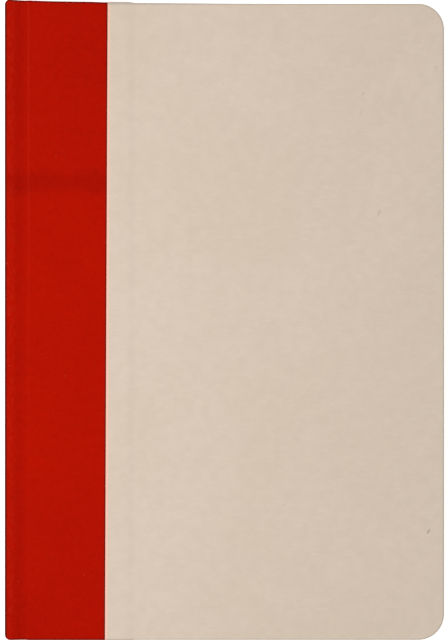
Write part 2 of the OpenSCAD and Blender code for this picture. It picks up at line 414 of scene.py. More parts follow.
def finished(material, add, colour, roughness, gloss, relief=None, strength=0.0, depth=0.0, **settings):
    """Ends a material with its relief, where it has one, its shader and its output."""
    if relief is not None:
        settings["Normal"] = add("Bump", Strength=strength, Distance=depth, Height=relief)
    settings.update(Base_Color=colour, Roughness=roughness, Specular_IOR_Level=gloss)
    add("OutputMaterial", Surface=add("BsdfPrincipled", **settings))
    return material


def book_cloth():
    """Fine plain-woven cotton book cloth, dyed deep red, matt.
    The eye sees an even saturated red with a faint fibrous mottle, and crossing threads close up. The joint
    is worn lighter by rubbing, with painted sheen beside the spine's roll and a painted highlight over the
    board's edge. Painted shade darkens the hollows of the weave, head and tail, the rolled edges, the bottom
    of the joint groove and a line beside the paper, and a soft dark band runs across."""
    material, add = empty_material("red_woven_book_cloth")
    pitch = sizes().thread_pitch
    flat = add("UVMap", uv_map="flat")
    across, along, _ = add("SeparateXYZ", flat).outputs
    distance = add("Math ABSOLUTE", across)

    # Plain weave: each thread wanders a little, and where one goes over, the one that crosses it goes under
    turns = wandering(add, flat, 5 * MM, 0.35 * pitch)
    turns = add("VectorMath SCALE", turns, Scale=math.pi / pitch)
    warp, weft = (add("Math COSINE", way) for way in add("SeparateXYZ", turns).outputs[:2])
    crossing = add("Math MULTIPLY", warp, weft)
    warp = add("Math ADD", add("Math ABSOLUTE", warp), crossing)
    weft = add("Math SUBTRACT", add("Math ABSOLUTE", weft), crossing)
    height = add("Math MAXIMUM", warp, weft)

    # Uneven dye: slow clouds, fibres that lie across the spine, and small knots
    slow = add("TexNoise", flat, Scale=1 / (26 * MM), Detail=3.0)
    lying = add("Mapping", flat, Scale=(1 / (4.5 * MM), 1 / (2 * MM), 1.0))
    fibre = add("TexNoise", lying, Scale=1.0, Detail=4.0, Distortion=1.6)
    knots = add("TexNoise", flat, Scale=1 / (1.6 * MM), Detail=2.0)
    # A soft dark band crosses the cloth, 46 mm to the head of the middle, give or take 2 mm
    ragged = add("TexNoise", flat, Scale=1 / (9 * MM), Detail=3.0)
    ragged = add("MapRange", ragged, 0.0, 1.0, 43.8 * MM, 48.2 * MM)
    # Painted shade darkens the low places of the weave between the threads; the parts added to it below are
    # the dye's own unevenness and painted shade
    dye_and_shade = add("MapRange", height, 0.0, 0.8, 0.085, 0.0)
    for part in (
        add("MapRange", slow, 0.3, 0.7, 0.0, 0.05),
        add("MapRange", fibre, 0.3, 0.7, 0.0, 0.068),
        add("MapRange", knots, 0.4, 0.7, 0.0, 0.04),
        # Painted shade: the cloth is darker towards the tail and, less, towards the head, where the light
        # falls off
        add("MapRange", along, -0.24 * CLOTH_H, -0.45 * CLOTH_H, 0.0, 0.06),
        add("MapRange", along, 0.12 * CLOTH_H, 0.42 * CLOTH_H, 0.0, 0.05),
        # Painted shade deepens the bottom of the joint groove
        stripe(add, distance, flat_at(DEEP_S), 0.2 * MM, 3.4 * MM, 0.06),
        stripe(add, along, ragged, 0.5 * MM, 6.5 * MM, 0.12),
    ):
        dye_and_shade = add("Math ADD", dye_and_shade, part)
    colour = laid_over(add, linear(colours().cloth), "#000000", dye_and_shade)

    # The roll and the joint are worn by rubbing: pale fibres along the spine, partly painted sheen on the
    # shoulder, and a painted highlight, a pale line, over the board's edge
    upright = add("Mapping", flat, Scale=(1 / (0.9 * MM), 1 / (2.6 * MM), 1.0))
    rub_and_highlight = add("TexNoise", upright, Scale=1.0, Detail=5.0, Distortion=0.5)
    rub_and_highlight = add("MapRange", rub_and_highlight, 0.42, 0.72)
    roll = add("Math SUBTRACT", distance, ROLL_U)
    zone = stripe(add, roll, 1 * MM, 0.8 * MM, 3.5 * MM, 0.2, 0.04, "LINEAR")
    rub_and_highlight = add("Math MULTIPLY", rub_and_highlight, zone)
    # Painted highlight: the pale line where the cloth runs over the board's edge and catches the light
    board_edge_highlight = stripe(add, distance, JOINT_U - 0.35 * MM, 0.1 * MM, 0.7 * MM, 0.11)
    fading = add("MapRange", along, -0.2 * CLOTH_H, 0.2 * CLOTH_H, 0.2)
    board_edge_highlight = add("Math MULTIPLY", board_edge_highlight, fading)
    rub_and_highlight = add("Math MAXIMUM", rub_and_highlight, board_edge_highlight)
    colour = laid_over(add, colour, "#C03420", rub_and_highlight)

    # Painted shade: a dark line on the cloth beside the leaning edge of the paper
    seam = add("Math MULTIPLY_ADD", along, -LAP_LEAN / CLOTH_H, distance)
    seam = stripe(add, seam, SEAM_U - 0.12 * MM, 0.15 * MM, 0.5 * MM, 0.9)
    colour = laid_over(add, colour, "#65150B", seam)

    # Painted shade on the spine's rolled edge, fading down its back, and at head and tail, where the cloth
    # turns away from the light
    over = add("MapRange", roll, 0.55 * MM, 1 * MM, 0.9, 0.0, interpolation_type="SMOOTHSTEP")
    down = add("MapRange", roll, 0.0, -1.9 * MM, 1.0, 0.03)
    down = add("Math POWER", down, 3.0)
    roll = add("Math MULTIPLY", over, down)
    edge = add("Math SUBTRACT", add("Math ABSOLUTE", along), CLOTH_H / 2)
    inner = add("MapRange", edge, -0.3 * MM, -0.8 * MM, 0.85, 0.0, interpolation_type="SMOOTHSTEP")
    outer = add("MapRange", edge, 0.3 * MM, 1.6 * MM, 1.0, 0.12, interpolation_type="SMOOTHSTEP")
    edge = add("Math MULTIPLY", inner, outer)
    cloth_edge_shade = add("Math MAXIMUM", roll, edge)
    patchy = add("TexNoise", flat, Scale=1 / (4 * MM), Detail=4.0)
    patchy = add("MapRange", patchy, 0.3, 0.6, 0.85, 1.0)
    cloth_edge_shade = add("Math MULTIPLY", cloth_edge_shade, patchy)
    colour = laid_over(add, colour, "#5C1209", cloth_edge_shade)

    # A few pale specks of lint, most of them by the spine
    rarity = add("MapRange", distance, 11 * MM, 20 * MM, 0.62, 0.95)
    speck = scatter(add, flat, 3.1 * MM, 0.03, 0.075, rarity)
    colour = laid_over(add, colour, "#D4664C", speck)

    relief = add("Math MULTIPLY_ADD", knots, 1.6, height)
    # Dyed cotton scatters nearly all of its light in the dye's own colour, so its gloss is next to none
    sheen = {"Sheen_Weight": 0.08, "Sheen_Tint": linear("#D8331A")}
    return finished(material, add, colour, 0.92, 0.03, relief, 0.35, 0.03 * MM, **sheen)


def cover_paper():
    """Uncoated cover paper, made from mixed fibres on a wire, matt.
    The eye sees a warm grey beige with a faint felt mottle, fine fibres, a few dark flecks, a pale cut edge
    beside the cloth with a painted highlight, and painted shade on the outer edges."""
    material, add = empty_material("uncoated_fibre_cover_paper")
    at = add("TexCoord").outputs["Object"]
    x, y, _ = add("SeparateXYZ", at).outputs
    slow = add("TexNoise", at, Scale=1 / (38 * MM), Detail=2.0)
    colour = laid_over(add, linear(colours().paper), "#D3C2AF", slow, 0.35, 0.65, 0.5)
    felt = add("TexNoise", at, Scale=1 / (3 * MM), Detail=2.0, Roughness=0.5)
    colour = laid_over(add, colour, "#CEBDAB", felt, 0.33, 0.68, 0.38)

    # Fibres, longer than wide and lying two ways, drawn about 0.5 mm wide so that they show
    lengths = (1 / (3 * MM), 1 / (0.7 * MM), 1 / (3 * MM))
    ways = [add("Mapping", at, Rotation=(0, 0, turn), Scale=lengths) for turn in (0.35, -0.75)]
    fibres = [add("TexNoise", way, Scale=1.0, Detail=1.0, Distortion=1.0) for way in ways]
    threads = add("Math MAXIMUM", *fibres)
    colour = laid_over(add, colour, "#E4D4C2", threads, 0.56, 0.78, 0.25)

    # Flecks of bark fibre: the four that show most on the front, and a sparse scatter
    ragged = wandering(add, at, 0.7 * MM, 0.9 * MM)
    fleck = scatter(add, ragged, 6.5 * MM, 0.02, 0.06, 0.94)
    for fleck_x, fleck_y, half_wide, half_long, lean, dark in FLECKS:
        place = (fleck_x * MM, fleck_y * MM, TOTAL_T)
        size = (half_wide * MM, half_long * MM, 1 * MM)
        spot = add("Mapping", ragged, place, (0, 0, -lean), size, vector_type="TEXTURE")
        spot = add("MapRange", add("VectorMath LENGTH", spot), 0.3, 1.0, dark, 0.0)
        fleck = add("Math MAXIMUM", fleck, spot)
    colour = laid_over(add, colour, "#8C7963", fleck)

    # Cut edge beside the cloth: the paper's pale core, a little pink with the cloth's dye, and a painted
    # highlight where the edge catches the light
    cut = add("Math MULTIPLY_ADD", y, -LAP_LEAN / CLOTH_H, x)
    cut = add("Math SUBTRACT", cut, LAP_X)
    colour = laid_over(add, colour, "#F5C4B0", cut, 1.2 * MM, 0.3 * MM, interpolation_type="SMOOTHSTEP")

    # Painted shade on the outer edges, all the way round the corners, where the paper turns away from the
    # light
    away = add("Math ABSOLUTE", y)
    out = add("CombineXYZ", past(add, x, FORE_X - CORNER_R), past(add, away, SKIN_H / 2 - CORNER_R))
    out = add("VectorMath LENGTH", out)
    paper_edge_shade = add("MapRange", out, CORNER_R - 0.65 * MM, CORNER_R - 0.1 * MM, 0.0, 0.45,
               interpolation_type="SMOOTHSTEP")
    paper_edge_shade = add("Math MULTIPLY", paper_edge_shade, by_slope(add, 0.0, 0.5, 0.3, 1.0))
    colour = laid_over(add, colour, "#A79C93", paper_edge_shade)

    relief = add("Math MULTIPLY_ADD", felt, 0.7, threads)
    return finished(material, add, colour, 0.85, 0.1, relief, 0.2, 0.05 * MM)


def writing_paper(name, tone_from=None):
    """Uncoated wood-free writing paper, calendered smooth, cream.
    The eye sees a soft even cream with the faintest cloudiness, and on the edges of the pages a tone of its
    own for each leaf, with painted shade on the outer leaf of each section."""
    material, add = empty_material(name)
    at = add("TexCoord").outputs["Object"]
    cloud = add("TexNoise", at, Scale=1 / (7 * MM), Detail=4.0)
    colour = laid_over(add, linear(colours().leaf), "#EAE3D3", cloud, 0.3, 0.7, 0.5)
    if tone_from:
        # The tone also holds the painted shade on the outer leaf of each section
        tone = add("Attribute", attribute_name=tone_from).outputs["Fac"]
        shade = add("Math MULTIPLY", tone, by_slope(add, 0.2, 0.8, 1.0, 0.0))
        colour = laid_over(add, colour, "#C4B697", shade)
    grain = add("TexNoise", at, Scale=1 / (0.5 * MM), Detail=2.0)
    return finished(material, add, colour, 0.8, 0.15, grain, 0.15, 0.03 * MM)


def printed_ruling():
    """Pale grey-blue offset ink on writing paper: thin, matt and slightly broken by the paper's tooth."""
    material, add = empty_material("printed_ruling_ink")
    at = add("TexCoord").outputs["Object"]
    tooth = add("TexNoise", at, Scale=1 / (0.6 * MM), Detail=2.0)
    colour = laid_over(add, linear(colours().ruling), colours().leaf, tooth, 0.3, 0.7, 0.45)
    return finished(material, add, colour, 0.8, 0.1)


def wound_cotton():
    """Natural cotton thread and tape, spun and unbleached.
    The eye sees cream cords with the fine slanting lines of their plies."""
    material, add = empty_material("natural_cotton_thread")
    at = add("TexCoord").outputs["Object"]
    ply = add("TexWave", at, Scale=1 / (1.3 * MM), Distortion=1.5, Detail=2.0, bands_direction="DIAGONAL")
    ply = ply.outputs["Fac"]
    colour = laid_over(add, linear(colours().cotton), "#C6B99C", ply, share=0.45)
    fuzz = add("TexNoise", at, Scale=1 / (0.6 * MM), Detail=3.0)
    colour = laid_over(add, colour, "#F1EBDD", fuzz, 0.4, 0.7, 0.4)
    return finished(material, add, colour, 0.9, 0.1, ply, 0.4, 0.05 * MM, Sheen_Weight=0.1)


def grey_board():
    """Greyboard, pressed from recycled pulp: dull grey with darker and lighter fibres, rough where cut."""
    material, add = empty_material("pressed_greyboard")
    at = add("TexCoord").outputs["Object"]
    pulp = add("TexNoise", at, Scale=1 / (1.1 * MM), Detail=5.0, Roughness=0.7)
    colour = laid_over(add, linear("#A39D93"), "#827C72", pulp, 0.3, 0.7)
    plies = add("Mapping", at, Scale=(1 / (9 * MM), 1 / (9 * MM), 1 / (0.35 * MM)))
    plies = add("TexNoise", plies, Scale=1.0, Detail=2.0)
    colour = laid_over(add, colour, "#6E685F", plies, 0.4, 0.7, 0.35)
    return finished(material, add, colour, 0.92, 0.1, pulp, 0.4, 0.1 * MM)


def kraft_lining():
    """Brown kraft paper, machine glazed: warm brown with long fibres running down the spine."""
    material, add = empty_material("brown_kraft_paper")
    at = add("TexCoord").outputs["Object"]
    grain = add("Mapping", at, Scale=(1 / (0.5 * MM), 1 / (5 * MM), 1 / (0.5 * MM)))
    grain = add("TexNoise", grain, Scale=1.0, Detail=4.0)
    colour = laid_over(add, linear("#A98257"), "#8D6840", grain, 0.3, 0.7)
    return finished(material, add, colour, 0.7, 0.25, grain, 0.2, 0.05 * MM)


def open_gauze():
    """Cotton mull: loose leno threads 1.2 mm apart, stiff with glue, with dark gaps between them."""
    material, add = empty_material("glued_cotton_gauze")
    at = add("TexCoord").outputs["Object"]
    turns = add("VectorMath SCALE", at, Scale=math.pi / (1.2 * MM))
    x, y, z = add("SeparateXYZ", turns).outputs
    waves = [add("Math SINE", way) for way in (add("Math ADD", x, z), y)]
    waves = [add("Math ABSOLUTE", wave) for wave in waves]
    hole = add("Math MINIMUM", *waves)
    colour = laid_over(add, linear("#E6DEC8"), "#A69877", hole, 0.45, 0.75)
    thread = add("MapRange", hole, 0.45, 0.75, 1.0, 0.0)
    return finished(material, add, colour, 0.8, 0.2, thread, 0.5, 0.1 * MM)


# Spine cloth


def cloth_top(s):
    """Height of the cloth's outer side at a distance s from the spine face."""
    down = (SHOULDER_Z - GROOVE_Z) * rise(s, SHOULDER_W, DEEP_S)
    up = (CLOTH_Z - GROOVE_Z) * ease(np.clip((s - DEEP_S) / (JOINT_W - DEEP_S), 0, 1) ** GROOVE_STEEP)
    return SHOULDER_Z - down + up


def flat_at(s):
    """Distance along the cloth from the middle of the spine to a distance s from the spine face."""
    stops = np.linspace(ROLL_R, s, 1000)
    over = np.hypot(np.diff(stops), np.diff(cloth_top(stops)))
    return SHOULDER_Z - ROLL_R - MIDDLE_Z + ROLL_R * QUARTER + float(np.sum(over))


ROLL_U = SHOULDER_Z - MIDDLE_Z - 0.45 * ROLL_R
JOINT_U = flat_at(JOINT_W)
SEAM_U = flat_at(CLOTH_SHOW)


def turned_low(s):
    """Height of the inner side of the turned-in cloth at a distance s from the spine face."""
    upper = cloth_top(np.minimum(s, DEEP_S)) - CLOTH_T
    return upper - CLOTH_T - (GROOVE_Z - CLOTH_T - BOARD_IN_Z) * rise(s, DEEP_S, JOINT_W)


def cloth_lines():
    """Outer and inner line of the front cloth, from the middle of the spine to the cloth's hidden edge."""
    bend = 0.4 * MM
    roll_z = SHOULDER_Z - ROLL_R
    inner_x = STIFFENER_HIGH.x + CLOTH_T
    inner_z = SHOULDER_Z - 2 * CLOTH_T
    bend_x, bend_z = inner_x + bend, inner_z - bend
    outer = [(FACE_X, z) for z in np.linspace(MIDDLE_Z, roll_z, 11)]
    inner = [(inner_x, z) for z in np.linspace(MIDDLE_Z, bend_z, 11)]
    for a in np.linspace(0, QUARTER, 13)[1:]:
        outer.append((FACE_X + ROLL_R * (1 - math.cos(a)), roll_z + ROLL_R * math.sin(a)))
        inner.append((bend_x - bend * math.cos(a), bend_z + bend * math.sin(a)))
    end = CLOTH_END_X - FACE_X
    over_board = np.array([0.3, 0.7, 1.2, 2, 3.5, 6, 9, 12, 15, 18, 21, 24.2, 26, 28, 30, 32]) * MM
    stops = join_stations(
        stations(ROLL_R, (6, SHOULDER_W), (16, DEEP_S), (18, JOINT_W))[1:],
        JOINT_W + over_board,
        [end - 0.5 * MM, end],
    )
    for s in stops:
        thin = 0.12 * MM * float(rise(s, end - 1.6 * MM, end))
        outer.append((FACE_X + s, float(cloth_top(s)) - thin))
        if s < SHOULDER_W:
            share = (s - ROLL_R) / (SHOULDER_W - ROLL_R)
            inner.append((bend_x + (FACE_X + SHOULDER_W - bend_x) * share, inner_z))
        else:
            inner.append((FACE_X + s, float(turned_low(s)) + thin))
    return np.array(outer), np.array(inner)


def head_lift(s):
    """How far the covering stands proud at the head, most at the spine: it was drawn on a little askew."""
    s = np.maximum(s, 0)
    fade, even_from = 12 * MM, 90 * MM
    beside_paper = 0.5 * (1 - rise(s, CLOTH_SHOW - 6 * MM, CLOTH_SHOW))
    over_board = 1 - rise(s, CLOTH_SHOW, even_from)
    return HEAD_LIFT * np.exp(-s / fade) + HEAD_SLOPE * (beside_paper + over_board)


def quarter_in(depth, radius):
    """How far a rounded edge stands back at a depth below its face."""
    return arc_drop(np.clip(radius - depth, 0, None), radius)


def cloth_grid():
    """Points and flat coordinates of the front half of the spine cloth, turned in at head and tail."""
    outer, inner = cloth_lines()
    steps = np.linalg.norm(np.diff(outer, axis=0), axis=1)
    along = np.concatenate([[0], np.cumsum(steps)])
    share = ease(np.linspace(0, 1, 15))
    span = join_stations(stations(0, (32, 0.9), (10, 0.99)), [0.996, 1.0])
    span = np.concatenate([span[::-1], -span[1:]])
    turned = np.linspace(0, 1, 14)
    window = WINDOW_H / 2
    rows, flats = [], []
    for (outer_x, outer_z), (inner_x, inner_z), across in zip(outer, inner, along):
        depth = math.hypot(inner_x - outer_x, inner_z - outer_z)
        radius = min(sizes().edge_round, depth / 2)
        depths = share * depth
        edge_x = outer_x + (inner_x - outer_x) * share
        edge_z = outer_z + (inner_z - outer_z) * share
        back_in = np.maximum(quarter_in(depths, radius), quarter_in(depth - depths, radius))
        back_in = np.maximum(back_in, quarter_in(edge_x - FACE_X, CAP_R))
        edge_y = CLOTH_H / 2 - back_in
        turned_y = (window + (edge_y[-1] - window) * turned)[:-1]
        over_edge = range(len(share) - 1, 0, -1)
        tail = [(inner_x, -y, inner_z) for y in turned_y]
        tail += [(edge_x[j], -edge_y[j], edge_z[j]) for j in over_edge]
        lift = head_lift(outer_x - FACE_X)
        head = [(x, -y + lift * (-y - window) / (edge_y[0] - window), z) for x, y, z in tail]
        middle = [(outer_x, y * edge_y[0] + lift * max(y, 0) ** 8, outer_z) for y in span]
        rows.append(head + middle + tail[::-1])
        head_flat = [edge_y[0] + depth + (edge_y[-1] - y) for y in turned_y]
        head_flat += [edge_y[0] + depths[j] for j in over_edge]
        lengthwise = head_flat + [y * edge_y[0] for y in span] + [-y for y in reversed(head_flat)]
        flats.append([(across, y) for y in lengthwise])
    return np.array(rows), np.array(flats)


class NOTEBOOK_OT_spine_cloth(Operator):
    """Wrap the spine and the joints in cloth, turned in at head and tail"""

    bl_idname = "notebook.spine_cloth"
    bl_label = "Spine cloth"

    def execute(self, context):
        points, flats = cloth_grid()
        lean = math.radians(20)
        line = Vector((math.cos(lean), 0, math.sin(lean)))
        middle = Vector((HINGE.x, 0, HINGE.z))
        before, after = 0.21 * MM, 5.5 * MM
        hinged_sheets(
            "spine_cloth_wrap", points, (flats, flats * (-1, 1)), book_cloth(), CLOTH_DRAWN,
            middle - line * before, middle + line * after, "book_cloth", "{}_cloth", "spine_cloth",
        )
        return {"FINISHED"}


# Side papers


def over_cloth(x, y):
    """1 where the paper lies on the cloth and 0 past it on the board, with a soft slope between them."""
    lean = 0.2 * MM * y / (CLOTH_H / 2)
    return 1 - rise(x - lean, CLOTH_END_X - 1.5 * MM, CLOTH_END_X + 2.2 * MM)


def paper_top(x, y):
    """Height of the side paper's face."""
    return BOARD_HIGH.z + SIDE_T + CLOTH_T * over_cloth(x, y)


def paper_low(x, y):
    """Height of the side paper's turned-in part, inside the cover."""
    return BOARD_IN_Z - SIDE_T - CLOTH_T * over_cloth(x, y)


def half_height(x, inset):
    """Half the height of the papered cover at x, drawn in by inset, with its rounded corners."""
    straight = SKIN_H / 2 + CLOTH_T * over_cloth(x, 0) - inset
    radius = CORNER_R - inset
    return straight - arc_drop(np.clip(x - (FORE_X - CORNER_R), 0, radius), radius)


def pleats(share, inset):
    """Height of the small folds of paper gathered round a corner, at a share of its quarter turn."""
    folds, roundness, height = 6, 0.6, 0.13 * MM
    fold = np.abs(np.sin(share * math.pi * folds)) ** roundness
    starts = np.clip((inset - 0.3 * MM) / (1.6 * MM), 0, 1)
    ends = np.clip((9 * MM - inset) / (3 * MM), 0, 1)
    return height * fold * starts * ends


def paper_face(edge):
    """Points of the front paper's face, in columns from the lap beside the cloth to the fore edge."""
    lap = np.array([0, 0.05, 0.14, 0.3, 0.6, 1.2, 2.4, 4.2, 6.0]) * MM
    drop = np.zeros(len(lap))
    drop[:3] = (-SIDE_T, -0.06 * MM, -0.015 * MM)
    straight = stations(LAP_X + 7 * MM, (18, RAMP_END_X + 2 * MM), (26, FORE_X - CORNER_R))
    corner = np.linspace(0, QUARTER, 25)[1:]
    turn = FORE_X - CORNER_R + (CORNER_R - edge) * np.sin(corner)
    height_share = stations(0, (34, 0.92), (9, 1))
    height_share = np.concatenate([-height_share[::-1], height_share[1:]])
    raised = np.maximum(height_share, 0) ** 8
    columns = []
    for x0 in [*(LAP_X + lap), *straight, *turn]:
        i = len(columns)
        y = height_share * half_height(x0, edge) + raised * head_lift(x0 - FACE_X)
        on_lap = i < len(lap)
        x = x0 + LAP_LEAN * y / CLOTH_H if on_lap else np.full_like(y, x0)
        columns.append(np.stack([x, y, paper_top(x, y) + (drop[i] if on_lap else 0)], -1))
    return np.array(columns), len(lap) + len(straight), corner


def side_paper_grids():
    """Points of the front paper's face and of its turned-in rim."""
    edge = sizes().edge_round
    radius = CORNER_R - edge
    face, count, corner = paper_face(edge)

    # The rim follows the face's edge from the lap at the tail round the fore edge to the lap at the head
    tail, head, fore = face[:, 0], face[:, -1], face[-1]
    loop = np.concatenate([tail, fore[1:-1], head[::-1]])
    out = np.zeros((len(loop), 2))
    out[:count] = (0, -1)
    out[len(tail) : -len(head)] = (1, 0)
    out[-count:] = (0, 1)
    at_tail = slice(count, len(tail))
    at_head = slice(len(loop) - len(head), len(loop) - count)
    out[at_tail] = np.stack([np.sin(corner), -np.cos(corner)], -1)
    out[at_head] = np.stack([np.sin(corner), np.cos(corner)], -1)[::-1]
    turn_share = np.zeros(len(loop))
    turn_share[at_tail] = corner / QUARTER
    turn_share[at_head] = corner[::-1] / QUARTER
    bent = (turn_share > 0) & (turn_share < 1)

    tops, lows = paper_top(*loop[:, :2].T), paper_low(*loop[:, :2].T)
    drops = loop[:, 2] - tops
    bend = np.linspace(0, QUARTER, 6)
    insets = (0.3, 0.7, 1.1, 1.6, 2.1, 2.6, 3.2, 4.2, 5.6, 7.4, 9.5, 12, TURN_IN / MM)
    rim = [(edge * math.sin(a), tops - edge * (1 - math.cos(a)) + drops, None) for a in bend]
    rim += [(edge, tops - edge + (lows - tops + 2 * edge) * share, None) for share in (0.25, 0.5, 0.75)]
    rim += [(edge * math.sin(a), lows + edge * (1 - math.cos(a)), None) for a in bend[::-1]]
    rim += [(-inset * MM, lows, inset * MM) for inset in insets]
    centre_x, centre_y = FORE_X - CORNER_R, SKIN_H / 2 - CORNER_R
    lines = []
    for reach, z, inset in rim:
        line = np.empty((len(loop), 3))
        line[:, :2] = loop[:, :2] + out * reach
        if inset is not None:
            keep = max(radius - inset, 0)
            line[bent, 0] = centre_x + out[bent, 0] * keep
            line[bent, 1] = np.sign(loop[bent, 1]) * centre_y + out[bent, 1] * keep
            limit_x, limit_y = FORE_X - edge - inset, SKIN_H / 2 - edge - inset
            line[:, 0] = np.minimum(line[:, 0], limit_x)
            squeeze = (line[:, 0] > FORE_X - TURN_IN - 12 * MM) | bent
            line[squeeze, 1] = np.clip(line[squeeze, 1], -limit_y, limit_y)
            z = z - np.where(bent, pleats(turn_share, inset), 0)
        line[:, 2] = z
        lines.append(line)
    return face, np.array(lines)


class NOTEBOOK_OT_side_papers(Operator):
    """Cover the boards with side papers that lap over the cloth and are turned in with pleated corners"""

    bl_idname = "notebook.side_papers"
    bl_label = "Side papers"

    def execute(self, context):
        paper = cover_paper()
        parts = side_paper_grids()
        for side, body in SIDES:
            front = side == "front"
            sheets = []
            for grid in parts:
                grid = grid if front else back_of(grid)
                mesh = grid_mesh(f"{side}_paper", grid, grid[..., :2], front)
                sheets.append(show(f"{side}_side_paper_wrap", mesh, paper))
            piece = sheets[0]
            with context.temp_override(
                active_object=piece, selected_editable_objects=sheets, selected_objects=sheets,
            ):
                bpy.ops.object.join()
            seam = piece.modifiers.new("weld", "WELD")
            seam.merge_threshold = 2e-6
            settle(piece)
            thicken(piece, PAPER_DRAWN)
            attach(piece, body)
            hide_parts(f"{side}_side_paper")
        return {"FINISHED"}


# Pages


def row_tree(name, way, material, leaves=False):
    """A Geometry Nodes group that repeats a shape in a row, with steps of its spacing along a direction.
    Leaves also lie a hair out of line, and each has a tone that goes with it as an attribute."""
    tree = bpy.data.node_groups.new(name, "GeometryNodeTree")
    add = partial(node, tree)
    inputs = {"Geometry": "Geometry", "Count": "Int", "Spacing": "Float"}
    if leaves:
        inputs.update({"Disorder": "Float", "Leaves in a section": "Int", "Seed": "Int"})
    for label, kind in inputs.items():
        tree.interface.new_socket(label, in_out="INPUT", socket_type="NodeSocket" + kind)
    tree.interface.new_socket("Geometry", in_out="OUTPUT", socket_type="NodeSocketGeometry")
    given = add("NodeGroupInput").outputs
    step = add("VectorMath SCALE", way, Scale=given["Spacing"])
    row = add("GeometryNodeMeshLine", Count=given["Count"], Offset=step)
    if leaves:
        low = add("Math MULTIPLY", given["Disorder"], -1.0)
        low = add("CombineXYZ", low, low)
        high = add("CombineXYZ", 0.0, given["Disorder"])
        jitter = add("FunctionNodeRandomValue", low, high, Seed=given["Seed"], data_type="FLOAT_VECTOR")
        row = add("GeometryNodeSetPosition", row, Offset=jitter)
    row = add("GeometryNodeInstanceOnPoints", row, Instance=given["Geometry"])
    if leaves:
        # Painted shade: the outer leaf of a section is darker, a line for the shade in the gap between
        # sections
        place = add("Math MODULO", add("GeometryNodeInputIndex"), given["Leaves in a section"])
        first = add("Math LESS_THAN", place, 0.5)
        tone = add("FunctionNodeRandomValue", Seed=given["Seed"], data_type="FLOAT")
        spread, section_shade = 0.55, 0.35
        tone = add("Math MULTIPLY_ADD", first, section_shade, add("Math MULTIPLY", tone, spread))
        row = add("GeometryNodeStoreNamedAttribute", row, Name="tone", Value=tone, data_type="FLOAT",
                  domain="INSTANCE")
    row = add("GeometryNodeRealizeInstances", row)
    row = add("GeometryNodeSetMaterial", row, Material=material)
    add("NodeGroupOutput", row)
    return tree


def grow(piece, tree, **values):
    """Grows a piece by a Geometry Nodes group with the given inputs and makes the result plain mesh."""
    modifier = piece.modifiers.new(tree.name, "NODES")
    modifier.node_group = tree
    keys = {item.name: item.identifier for item in tree.interface.items_tree if item.in_out == "INPUT"}
    for label, value in values.items():
        modifier[keys[label.replace("_", " ")]] = value
    settle(piece)


def prism(name, outline, low, high):
    """An upright slab over a convex outline."""
    count = len(outline)
    points = [(x, y, z) for z in (low, high) for x, y in outline]
    faces = [tuple(range(count - 1, -1, -1)), tuple(range(count, 2 * count))]
    faces += [(i, (i + 1) % count, (i + 1) % count + count, i + count) for i in range(count)]
    return plain_mesh(name, points, faces)


def leaf_outline(x0, x1):
    """Plan of a leaf, anticlockwise: square at the spine, rounded at the fore edge."""
    centre_x, centre_y = x1 - LEAF_R, PAGES_H / 2 - LEAF_R
    quarter = np.linspace(0, QUARTER, 8)
    corner = [(centre_x + LEAF_R * math.sin(a), -centre_y - LEAF_R * math.cos(a)) for a in quarter]
    tail = [(x0, -PAGES_H / 2), *corner]
    return tail + [(x, -y) for x, y in reversed(tail)]


def section_folds(start_x, section_t, leaf_t):
    """The folds of the lowest section: sheets nested in each other, each bent round at the spine."""
    points, faces = [], []
    turn = np.linspace(QUARTER, 3 * QUARTER, 9)
    for sheet in range(LEAVES // 2):
        outer_r = section_t / 2 - (sheet + 0.02) * leaf_t
        inner_r = outer_r - 0.94 * leaf_t
        loop = [(outer_r, a) for a in turn] + [(inner_r, a) for a in turn[::-1]]
        tail, count = len(points), len(loop)
        head = tail + count
        for y in (-PAGES_H / 2, PAGES_H / 2):
            for r, a in loop:
                points.append((start_x + r * math.cos(a), y, PAGES_LOW_Z + section_t / 2 + r * math.sin(a)))
        for i in range(count):
            j = (i + 1) % count
            faces.append((tail + i, head + i, head + j, tail + j))
        for i in range(len(turn) - 1):
            ring = (i, i + 1, count - 2 - i, count - 1 - i)
            faces.append([tail + k for k in ring])
            faces.append([head + k for k in reversed(ring)])
    return plain_mesh("folds", points, faces)


class NOTEBOOK_OT_pages(Operator):
    """Stack the leaves and their folds into the sewn pages"""

    bl_idname = "notebook.pages"
    bl_label = "Pages"

    def execute(self, context):
        paper = writing_paper("cream_writing_paper", tone_from="tone")
        count = SECTIONS * LEAVES
        leaf_t = PAGES_T / count
        section_t = LEAVES * leaf_t
        start_x = PAGES_X + section_t / 2
        slab = prism("leaf", leaf_outline(start_x, PAGES_END_X), PAGES_LOW_Z, PAGES_LOW_Z + 0.97 * leaf_t)
        leaf = show("page_leaves", slab, paper, smooth=False)
        stack = row_tree("stack_of_leaves", (0, 0, 1), paper, leaves=True)
        disorder = 0.035 * MM
        grow(leaf, stack, Count=count, Spacing=leaf_t, Disorder=disorder, Leaves_in_a_section=LEAVES,
             Seed=7)
        folds = show("page_folds", section_folds(start_x, section_t, leaf_t), paper)
        grow(folds, stack, Count=SECTIONS, Spacing=section_t, Disorder=0.0, Leaves_in_a_section=1, Seed=3)
        folds.data.set_sharp_from_angle(angle=SHARP)
        for piece in (leaf, folds):
            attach(piece, "pages_and_spine")
        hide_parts("text_block")
        return {"FINISHED"}


